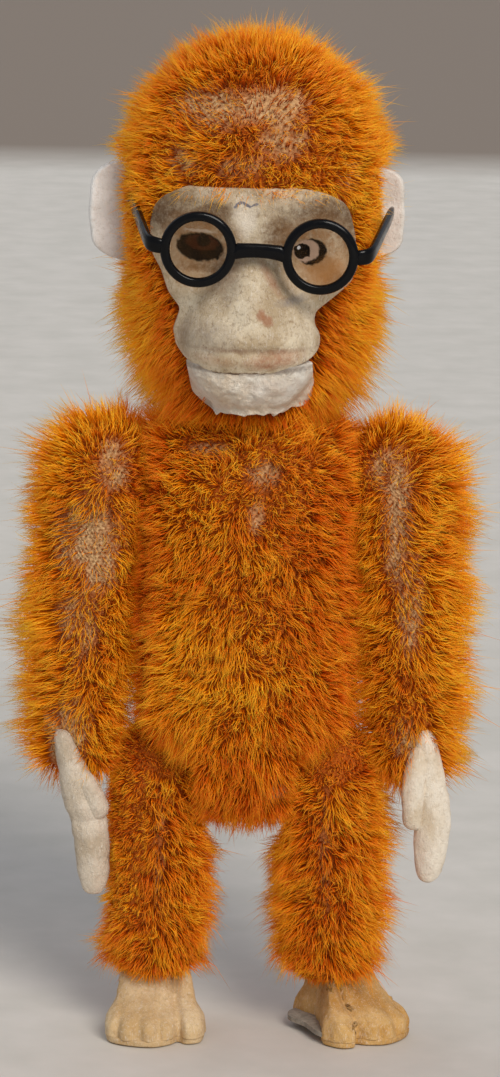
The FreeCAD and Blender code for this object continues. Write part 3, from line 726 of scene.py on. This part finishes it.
# face
face = {
    "left": [(84.55, 1.2), (85.2, 3.3), (86.0, 7.0), (87.4, 8.4), (89.0, 8.4), (90.5, 7.6), (91.7, 7.8), (92.7, 9.2), (95.0, 12.3),
             (100.2, 12.5), (103.2, 11.8), (104.8, 10.9), (106.0, 8.6), (106.6, 6.0)],
    "right": [(84.55, -4.0), (85.2, -6.2), (86.0, -8.4), (87.2, -9.3), (89.1, -9.6), (91.8, -8.7), (93.4, -10.2), (96.2, -11.2),
              (98.1, -12.4), (101.5, -12.6), (103.9, -12.1), (105.4, -10.6), (106.6, -8.0)],
    "rise": 0.9, "low": 84.55, "high": 106.6, "thick": 1.0, "flat": (0.027, 0.025), "cut": 0.0005,
    "relief": [(0.45, 0, 104.6, 12, 1.3), (-1.15, -6.3, 99.3, 3.6, 2.5), (-1.15, 6.5, 99.0, 3.6, 2.5), (1.0, -0.2, 96.5, 1.8, 4.5),
               (0.9, 0.9, 92.2, 2.3, 1.7), (0.5, -8.6, 94.8, 2.6, 2.2), (0.5, 8.8, 94.6, 2.6, 2.2), (0.85, -0.2, 88.6, 7.0, 2.2),
               (-0.5, 0.0, 87.5, 7.0, 0.5), (0.5, 0.5, 86.2, 6.5, 0.9), (-0.45, -3.4, 91.2, 2.4, 0.8), (-0.45, 4.6, 91.0, 2.4, 0.8),
               (0.3, -2.6, 103.2, 0.7, 1.8), (0.3, 0.8, 102.8, 0.6, 1.8), (-0.25, -0.9, 103.0, 0.6, 2.0)],
    "chinLeft": [(79.3, 5.9), (79.7, 6.9), (80.6, 7.5), (82.5, 7.7), (85.4, 7.5)],
    "chinRight": [(79.3, -4.6), (79.7, -5.9), (81.0, -7.1), (82.5, -7.5), (85.4, -7.9)],
    "chinLow": 79.3, "chinHigh": 85.8, "chinBack": 0.2,
}

skull = bmesh.new()
skull.from_mesh(frame["nodes"]["head_cover"].data)
skullTree = BVHTree.FromBMesh(skull)
skull.free()


def frontOf(node, tree, x, z):
    # where a line from straight in front meets the cover
    hit = tree.ray_cast(Vector((x * mm, -0.06, z * mm)), Vector((0, 1, 0)))[0]
    return hit.y / mm if hit else None


def faceFront(proud):
    def front(x, z):
        shade = 1.0
        y = frontOf("head_cover", skullTree, x, z)
        while y is None or y > -1.5:
            shade -= 0.01
            y = frontOf("head_cover", skullTree, x * shade, z)
        y -= proud + 0.12 * grain(x, 0, z, 1.6, 2)
        return Vector((x, y - relief(x, z), z + face["rise"])) * mm
    return front


def relief(x, z):
    return sum(amount * hump(x, z, *where) for amount, *where in face["relief"])


mask = feltSheet("faceMask", maskFelt, lambda z: (between(face["right"], z), between(face["left"], z)),
                 face["low"], face["high"], faceFront(1.15), face["thick"], 38, 34)
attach(mask, "head")
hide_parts("face_mask")


def chinFront(x, z):
    y = frontOf("head_cover", skullTree, x, max(z, 80.0))
    y = min(y if y is not None else -4.0, -4.0) - 1.15 + face["chinBack"]
    fringe = 0.3 * grain(x, 3, 0, 1.1, 9) * min(max((81 - z) / 1.5, 0.0), 1.0)
    pout = 0.9 * hump(x, z, 0, 82.4, 6.2, 2.2) + 0.4 * grain(x, 7, z, 1.1, 3) + 0.3 * grain(x, 7, z * 2, 0.55, 5)
    return Vector((x, y - pout, z + fringe + face["rise"])) * mm


chin = feltSheet("chinFelt", chinFelt, lambda z: (between(face["chinRight"], z), between(face["chinLeft"], z)),
                 face["chinLow"], face["chinHigh"], chinFront, 1.0, 48, 22)
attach(chin, "head")
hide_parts("chin_felt")


# ears
ears = {
    "left": {"reach": 18.3, "low": 96.6, "high": 109.0, "square": 6.0, "cup": 0.5},
    "right": {"reach": 19.9, "low": 95.6, "high": 109.2, "square": 4.5, "cup": 0.7},
    "root": 10.1, "y": 2.8, "thick": 1.3,
}


def makeEar(side, sign):
    ear = ears[side]
    middle, half = (ear["low"] + ear["high"]) / 2, (ear["high"] - ear["low"]) / 2
    root = ear["reach"] - ears["root"]

    def edges(z):
        out = max(1 - abs((z - middle) / half) ** ear["square"], 0.0) ** 0.42
        reach = root + (ear["reach"] - root) * out + 0.25 * grain(0, sign, z, 2.2)
        return sorted((sign * root, sign * max(reach, root + 0.4)))

    def front(x, z):
        out = (abs(x) - root) / ears["root"]
        wave = 0.3 * grain(x, sign, z, 3.0, 5)
        return Vector((x, axisY + 0, z)) * mm + Vector((0, (ears["y"] - axisY / mm * 0 - ear["cup"] * out ** 2 + wave) * mm, 0))

    piece = feltSheet(f"ear_{side}_felt", earFelts[side], edges, ear["low"], ear["high"], front, ears["thick"], 14, 18)
    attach(piece, "head")
    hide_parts(f"ear_{side}")


for side, sign in (("left", 1), ("right", -1)):
    makeEar(side, sign)
print("felt face and ears shaped")


# hands: each a palm with its fingers, and a thumb laid over it
hands = {
    "forward": [(18, 2.2), (30, 3.3), (38, 4.2)],
    "shift": {"left": (0.9, 1.5), "right": (0.0, 0.7)},
    "right": {
        "palm": [(16.9, 18.4, -1.0, 0.7, 0.6), (17.5, 18.4, -1.0, 1.5, 1.1), (19.5, 18.4, -1.0, 2.0, 1.5), (22.5, 18.6, -0.9, 2.2, 1.7),
                 (25.7, 18.9, -0.8, 2.3, 1.7), (26.5, 19.1, -0.6, 2.2, 1.25), (27.4, 19.3, -0.7, 2.5, 1.8), (29.5, 20.1, -0.6, 2.5, 1.9),
                 (32.5, 20.8, -0.4, 2.0, 1.7), (36.0, 21.9, -0.3, 1.6, 1.5), (38.4, 22.3, -0.3, 1.1, 1.1)],
        "thumb": [(26.7, 18.0, -1.2, 0.6, 0.6), (27.2, 17.9, -1.3, 1.2, 1.1), (28.5, 18.0, -1.4, 1.5, 1.3), (30.2, 18.8, -1.3, 1.6, 1.3),
                  (31.8, 19.5, -1.1, 1.4, 1.2), (33.6, 20.2, -0.9, 0.9, 0.9)]},
    "left": {
        "palm": [(18.3, 22.2, -0.9, 0.7, 0.6), (19.0, 22.2, -0.9, 1.5, 1.1), (21.5, 22.3, -0.9, 2.0, 1.5), (25.0, 22.5, -0.8, 2.3, 1.7),
                 (28.0, 22.4, -0.6, 2.4, 1.8), (31.5, 22.0, -0.4, 2.1, 1.7), (35.5, 21.4, -0.3, 1.8, 1.5), (38.4, 21.0, -0.3, 1.2, 1.1)],
        "thumb": [(25.3, 20.2, -1.6, 0.6, 0.6), (25.9, 20.1, -1.7, 1.2, 1.1), (28.0, 20.0, -1.7, 1.45, 1.3), (31.0, 20.0, -1.6, 1.5, 1.3),
                  (34.0, 20.3, -1.2, 1.4, 1.2), (36.5, 20.7, -0.7, 0.9, 0.9)]},
}


def makeHand(side, sign):
    whole = bmesh.new()
    for part in ("palm", "thumb"):
        outward, upward = hands["shift"][side]
        lobe = stackRings([(z + upward, sign * x + outward, y - between(hands["forward"], z), halfX, halfY)
                           for z, x, y, halfX, halfY in hands[side][part]], 18)
        scrap = bpy.data.meshes.new("lobe")
        lobe.to_mesh(scrap)
        lobe.free()
        whole.from_mesh(scrap)
        bpy.data.meshes.remove(scrap)
    piece = finishMesh(f"hand_{side}_felt", whole, handFelts[side])
    smooth = piece.modifiers.new("round", "SUBSURF")
    smooth.levels = smooth.render_levels = 2
    applyAll(piece)
    for v in piece.data.vertices:
        at = v.co / mm
        v.co += v.normal * (0.16 * mm) * (grain(*at, 1.5, sign) + 0.5 * grain(*at, 0.6, sign))
    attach(piece, f"arm_{side}")
    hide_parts(f"hand_{side}")


# feet
foot = {
    "outline": [(-4.6, 3.6), (-2.6, 5.4), (1.0, 5.8), (4.2, 4.4), (5.4, 0.5), (6.2, -4.2), (5.9, -8.2), (3.4, -10.0),
                (0.2, -10.4), (-1.9, -9.0), (-2.8, -7.7), (-4.0, -8.6), (-5.6, -7.6), (-5.9, -4.0), (-5.2, 0.0)],
    "turn": {"left": 44.0, "right": 2.0}, "shift": 0.5, "out": 10.6, "back": -0.4, "heel": {"left": 0.25, "right": 0.85},
    "upper": [(0.72, 0.12, 1.0), (0.95, 0.16, 1.0), (1.3, 0.16, 1.0), (2.2, 0.12, 1.0), (3.1, -0.25, 0.97), (3.9, -0.95, 0.88), (4.6, -1.5, 0.76),
              (5.8, -1.9, 0.6), (7.0, -2.1, 0.5), (8.6, -2.3, 0.44)],
    "sole": [(0.0, -0.3, 1.0), (0.15, -0.08, 1.0), (0.5, 0.0, 1.0), (0.9, 0.03, 1.0), (1.04, 0.0, 1.0)],
    "toes": (6.5, 7.4, 8.3), "soleFlat": (0.0125, 0.0165), "soleCut": 0.000135,
}


def alongOutline(t):
    # a point on the smooth closed curve through the outline's points
    points = foot["outline"]
    i = math.floor(t)
    a, b, c, d = (Vector(points[(i + k) % len(points)]) for k in (-1, 0, 1, 2))
    u = t - i
    return 0.5 * (2 * b + (c - a) * u + (2 * a - 5 * b + 4 * c - d) * u * u + (3 * b - a - 3 * c + d) * u ** 3)


def footRing(side, sign, z, grow, front, slits):
    swing = Matrix.Rotation(math.radians(foot["turn"][side]) * sign, 2)

    def at(spoke):
        t = (spoke / turn % 1.0) * len(foot["outline"])
        p = alongOutline(t)
        p *= (p.length + grow) / p.length
        if p.y < 0:
            p.y *= front
        for slit in foot["toes"]:
            p *= 1 - slits * 0.075 * math.exp(-((t - slit) / 0.2) ** 2)
        if p.x < 0:  # the inner side runs in towards the heel
            p.x *= 1 - (1 - foot["heel"][side]) * min(max((p.y + 5.0) / 6.0, 0.0), 1.0)
        p = swing @ Vector((p.x * sign, p.y))
        return Vector((p.x + sign * foot["out"] + foot["shift"], p.y + foot["back"], z)) * mm + Vector((0, axisY, 0))
    return at


def makeFoot(side, sign):
    for part, levels, node in (("upper", foot["upper"], "upper"), ("sole", foot["sole"], "sole")):
        rings = []
        for z, grow, front in levels:
            slits = max(1 - abs(z - 2.2) / 2.2, 0.0) ** 0.5 if part == "upper" else 0.0
            rings.append(footRing(side, sign, z, grow, front, slits))
        bm = loft(rings, 120)
        piece = finishMesh(f"foot_{side}_{part}_felt", bm, footFelts[side])
        smooth = piece.modifiers.new("round", "SUBSURF")
        smooth.levels = smooth.render_levels = 2 if part == "upper" else 1
        applyAll(piece)
        if part == "upper":
            for v in piece.data.vertices:
                at = v.co / mm
                v.co += v.normal * (0.17 * mm) * (grain(*at, 2.2, sign) + 0.6 * grain(*at, 0.9, sign))
        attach(piece, f"leg_{side}")
        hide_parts(f"foot_{side}_{node}")


for side, sign in (("left", 1), ("right", -1)):
    makeHand(side, sign)
    makeFoot(side, sign)
print("felt hands and feet shaped")


# glasses
glasses = {
    "shift": (0.75, 0.6), "eyeX": 7.2, "eyeZ": 99.6, "y": -18.6, "tilt": 2.5, "rim": 3.95, "rimWide": 0.6, "rimDeep": 0.58,
    "bridge": [(-3.3, 99.5, 1.25), (-2.7, 99.65, 1.02), (-1.4, 99.85, 0.9), (0.0, 99.9, 0.88), (1.4, 99.85, 0.9),
               (2.7, 99.65, 1.02), (3.3, 99.5, 1.25)],
    "temple": [((11.0, -18.6, 99.7), (0, 0.4, 0), 0.95), ((12.2, -18.55, 99.8), (-0.06, 0.42, 0), 0.95),
               ((12.95, -18.2, 99.95), (-0.3, 0.3, 0), 1.0), ((13.3, -17.3, 100.2), (-0.42, 0.08, 0), 1.0),
               ((13.9, -14.0, 101.0), (-0.42, 0.08, 0), 1.0), ((14.9, -8.0, 102.3), (-0.42, 0.08, 0), 0.95),
               ((15.8, -1.8, 103.2), (-0.42, 0.08, 0), 0.9), ((15.9, -1.0, 103.3), (-0.2, 0.04, 0), 0.5)],
}


def makeGlasses():
    moulding, desk, shader = newMaterial("blackMoulding", Specular_IOR_Level=0.1, Coat_Roughness=0.05)
    where = desk.add("ShaderNodeTexCoord", out="Object")
    haze = desk.cloud(where, 900, 3.0)
    feed(desk, shader, Base_Color=desk.ramp(haze, (0.35, (0.001, 0.001, 0.0015)), (0.75, (0.004, 0.0035, 0.0035))),
         Roughness=desk.limit(haze, 0.3, 0.75, 0.14, 0.34), Coat_Weight=desk.limit(haze, 0.3, 0.7, 0.2, 0.05))
    whole = bmesh.new()

    def take(part):
        scrap = bpy.data.meshes.new("part")
        part.to_mesh(scrap)
        part.free()
        whole.from_mesh(scrap)
        bpy.data.meshes.remove(scrap)

    for sign in (1, -1):
        rim = bmesh.new()
        hoop = bmesh.ops.create_circle(rim, segments=12, radius=1.0)["verts"]
        for v in hoop:
            c, s = v.co.x, v.co.y
            c, s = (math.copysign(abs(k) ** 0.7, k) for k in (c, s))
            x = glasses["rim"] + c * glasses["rimWide"]
            y = s * glasses["rimDeep"] - (0.16 if c < 0 and s < 0 else 0.0) * c * s
            v.co = Vector((sign * glasses["eyeX"] + x, glasses["y"] + y, glasses["eyeZ"])) * mm + Vector((0, axisY, 0))
        middle = Vector((sign * glasses["eyeX"], glasses["y"], glasses["eyeZ"])) * mm + Vector((0, axisY, 0))
        bmesh.ops.spin(rim, geom=rim.verts[:] + rim.edges[:], cent=middle, axis=(0, 1, 0), angle=turn, steps=64,
                       use_merge=True, use_duplicate=False)
        bmesh.ops.remove_doubles(rim, verts=rim.verts, dist=0.001 * mm)
        take(rim)
        rings = [barRing(Vector((sign * x, y, z)), Vector((sign * wx, wy, 0)), Vector((0, 0, tall)))
                 for (x, y, z), (wx, wy, _), tall in glasses["temple"]]
        take(loft(rings, 12))
    take(loft([barRing(Vector((x, glasses["y"], z)), Vector((0, 0.55, 0)), Vector((-x * 0.12, 0, tall)))
               for x, z, tall in glasses["bridge"]], 12))
    bmesh.ops.recalc_face_normals(whole, faces=whole.faces)
    tiltAndShift(whole)
    piece = finishMesh("glassesMoulding", whole, moulding)
    smooth = piece.modifiers.new("round", "SUBSURF")
    smooth.levels = smooth.render_levels = 1
    applyAll(piece)
    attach(piece, "glasses")
    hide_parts("glasses_frame")


def tiltAndShift(bm):
    # the glasses sit a little askew
    centre = Vector((0, glasses["y"], glasses["eyeZ"])) * mm + Vector((0, axisY, 0))
    bmesh.ops.rotate(bm, verts=bm.verts, cent=centre, matrix=Matrix.Rotation(math.radians(glasses["tilt"]), 3, "Y"))
    shiftX, shiftZ = glasses["shift"]
    bmesh.ops.translate(bm, verts=bm.verts, vec=Vector((shiftX, 0, shiftZ)) * mm)


def barRing(middle, wide, tall):
    def at(spoke):
        c, s = (math.copysign(abs(k) ** 0.6, k) for k in (math.cos(spoke), math.sin(spoke)))
        return (middle + wide * c + tall * s) * mm + Vector((0, axisY, 0))
    return at


makeGlasses()


# what stays as the frame has it: joint hardware, sole cards and the closing stitches
def makeLens():
    material, desk, shader = newMaterial("clearLens", IOR=1.4, Specular_IOR_Level=0.15)
    where = desk.add("ShaderNodeTexCoord", out="Object")
    smear = desk.cloud(where, 420, 3.0)
    # painted reflection: an orange patch low on the outer side of the toy's left lens stands for the mohair reflected
    # in it, in colour and opacity
    mohairReflection = spot(desk, where, (10.0 * mm, 97.0 * mm), 3.0 * mm, 2.6 * mm, 0.9)
    colour = desk.blend(mohairReflection, (0.2, 0.1, 0.03), (0.6, 0.2, 0.015))
    feed(desk, shader, Base_Color=colour, Alpha=desk.limit(smear + mohairReflection * 0.5, 0.3, 1.1, 0.01, 0.12),
         Roughness=desk.limit(smear, 0.3, 0.7, 0.03, 0.16))
    return material


def makeLenses():
    # thin clear discs, domed a little
    clear = makeLens()
    for side, sign in (("left", 1), ("right", -1)):
        bm = bmesh.new()
        rings = [(-0.42, 0.6), (-0.38, 1.9), (-0.22, 3.2), (-0.1, 3.62), (0.18, 3.62), (0.06, 3.2), (-0.1, 1.9), (-0.14, 0.6)]
        bm = loft([lensRing(sign, y, radius) for y, radius in rings], 40)
        tiltAndShift(bm)
        piece = finishMesh(f"lens_{side}_clear", bm, clear)
        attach(piece, "glasses")
        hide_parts(f"lens_{side}")


def lensRing(sign, y, radius):
    def at(spoke):
        return Vector((sign * glasses["eyeX"] + radius * math.cos(spoke), glasses["y"] + y,
                       glasses["eyeZ"] + radius * math.sin(spoke))) * mm + Vector((0, axisY, 0))
    return at


def makeBoard(name, dark, pale):
    material, desk, shader = newMaterial(name, Roughness=0.85)
    where = desk.add("ShaderNodeTexCoord", out="Object")
    chips = desk.cloud(where, 1500, 5.0, 0.7)
    feed(desk, shader, Base_Color=desk.ramp(chips, (0.35, dark), (0.65, pale)), Normal=bump(desk, chips, 0.05 * mm, 0.6))
    return material


def makeSteel(name, tone):
    material, desk, shader = newMaterial(name, Metallic=1.0)
    where = desk.add("ShaderNodeTexCoord", out="Object")
    draw = desk.cloud(where * (1.0, 12.0, 12.0), 500, 3.0)
    feed(desk, shader, Base_Color=desk.ramp(draw, (0.3, tuple(0.7 * c for c in tone)), (0.7, tone)),
         Roughness=desk.limit(draw, 0.3, 0.7, 0.25, 0.5))
    return material


def makeThread():
    material, desk, shader = newMaterial("cottonThread", Roughness=0.8, Sheen_Weight=0.2)
    where = desk.add("ShaderNodeTexCoord", out="Object")
    ply = desk.cloud(where * (1.0, 3.0, 1.0), 3000, 3.0)
    feed(desk, shader, Base_Color=desk.ramp(ply, (0.3, (0.2, 0.06, 0.01)), (0.7, (0.55, 0.24, 0.05))),
         Normal=bump(desk, ply, 0.08 * mm, 0.8))
    return material


makeLenses()
finishes = {"_disc": makeBoard("fibreBoard", (0.1, 0.055, 0.03), (0.2, 0.12, 0.07)),
            "_washer": makeSteel("washerSteel", (0.55, 0.54, 0.52)), "_pin": makeSteel("pinWire", (0.62, 0.6, 0.57)),
            "_card": makeBoard("greyCard", (0.2, 0.17, 0.13), (0.34, 0.3, 0.24)), "closing_stitches": makeThread()}
for node, thing in frame["nodes"].items():
    for part, finish in finishes.items():
        if part in node:
            thing.data.materials.clear()
            thing.data.materials.append(finish)
print("glasses and hardware finished")


# stage: a pale table that darkens into a plain grey backdrop far behind, and soft light
def makeStage():
    bm = bmesh.new()
    bmesh.ops.create_grid(bm, x_segments=1, y_segments=1, size=4.0)
    table, desk, shader = newMaterial("paleTable", Roughness=0.7, Specular_IOR_Level=0.2)
    floor = finishMesh("floor", bm, table)
    where = desk.add("ShaderNodeTexCoord", out="Object")
    mottle = desk.ramp(desk.cloud(where, 90, 5.0), (0.3, (0.585, 0.55, 0.485)), (0.7, (0.665, 0.62, 0.555)))
    away = desk.limit(desk.split(where, "Y"), 0.88, 0.95)
    feed(desk, shader, Base_Color=desk.blend(away, mottle, (0.25, 0.2, 0.158)))
    world = bpy.data.worlds.new("studio")
    bpy.context.scene.world = world
    world.use_nodes = True
    world.node_tree.nodes["Background"].inputs[0].default_value = (0.82, 0.88, 1.0, 1)
    world.node_tree.nodes["Background"].inputs[1].default_value = 0.42


lamps = {
    "window": {"from": (0.4, -1.0, 0.72), "spread": 26, "strength": 2.4, "colour": (1.0, 0.96, 0.91)},
    "fill": {"from": (-0.7, 0.5, 0.8), "spread": 50, "strength": 0.45, "colour": (0.9, 0.95, 1.0)},
}


def makeLamps():
    for name, lamp in lamps.items():
        data = bpy.data.lights.new(name, "SUN")
        data.energy, data.angle, data.color = lamp["strength"], math.radians(lamp["spread"]), lamp["colour"]
        thing = bpy.data.objects.new(name, data)
        thing.rotation_euler = (-Vector(lamp["from"])).to_track_quat("-Z", "Y").to_euler()
        bpy.context.collection.objects.link(thing)


lens = {"distance": 0.6, "elevation": 11.2, "roll": 1.0, "focal": 163.5, "target": (0.00024, 0.0, 0.06256)}


def makeCamera():
    data = bpy.data.cameras.new("camera")
    data.sensor_width, data.lens = 36.0, lens["focal"]
    camera = bpy.data.objects.new("camera", data)
    rise = math.radians(lens["elevation"])
    back = Vector((0, -math.cos(rise), math.sin(rise)))
    camera.location = Vector(lens["target"]) + back * lens["distance"]
    aim = (-back).to_track_quat("-Z", "Y").to_matrix()
    camera.rotation_euler = (aim @ Matrix.Rotation(math.radians(lens["roll"]), 3, "Z")).to_euler()
    bpy.context.collection.objects.link(camera)
    bpy.context.scene.camera = camera


makeStage()
makeLamps()
makeCamera()
bpy.context.scene.view_settings.view_transform = "Standard"

print("ready")
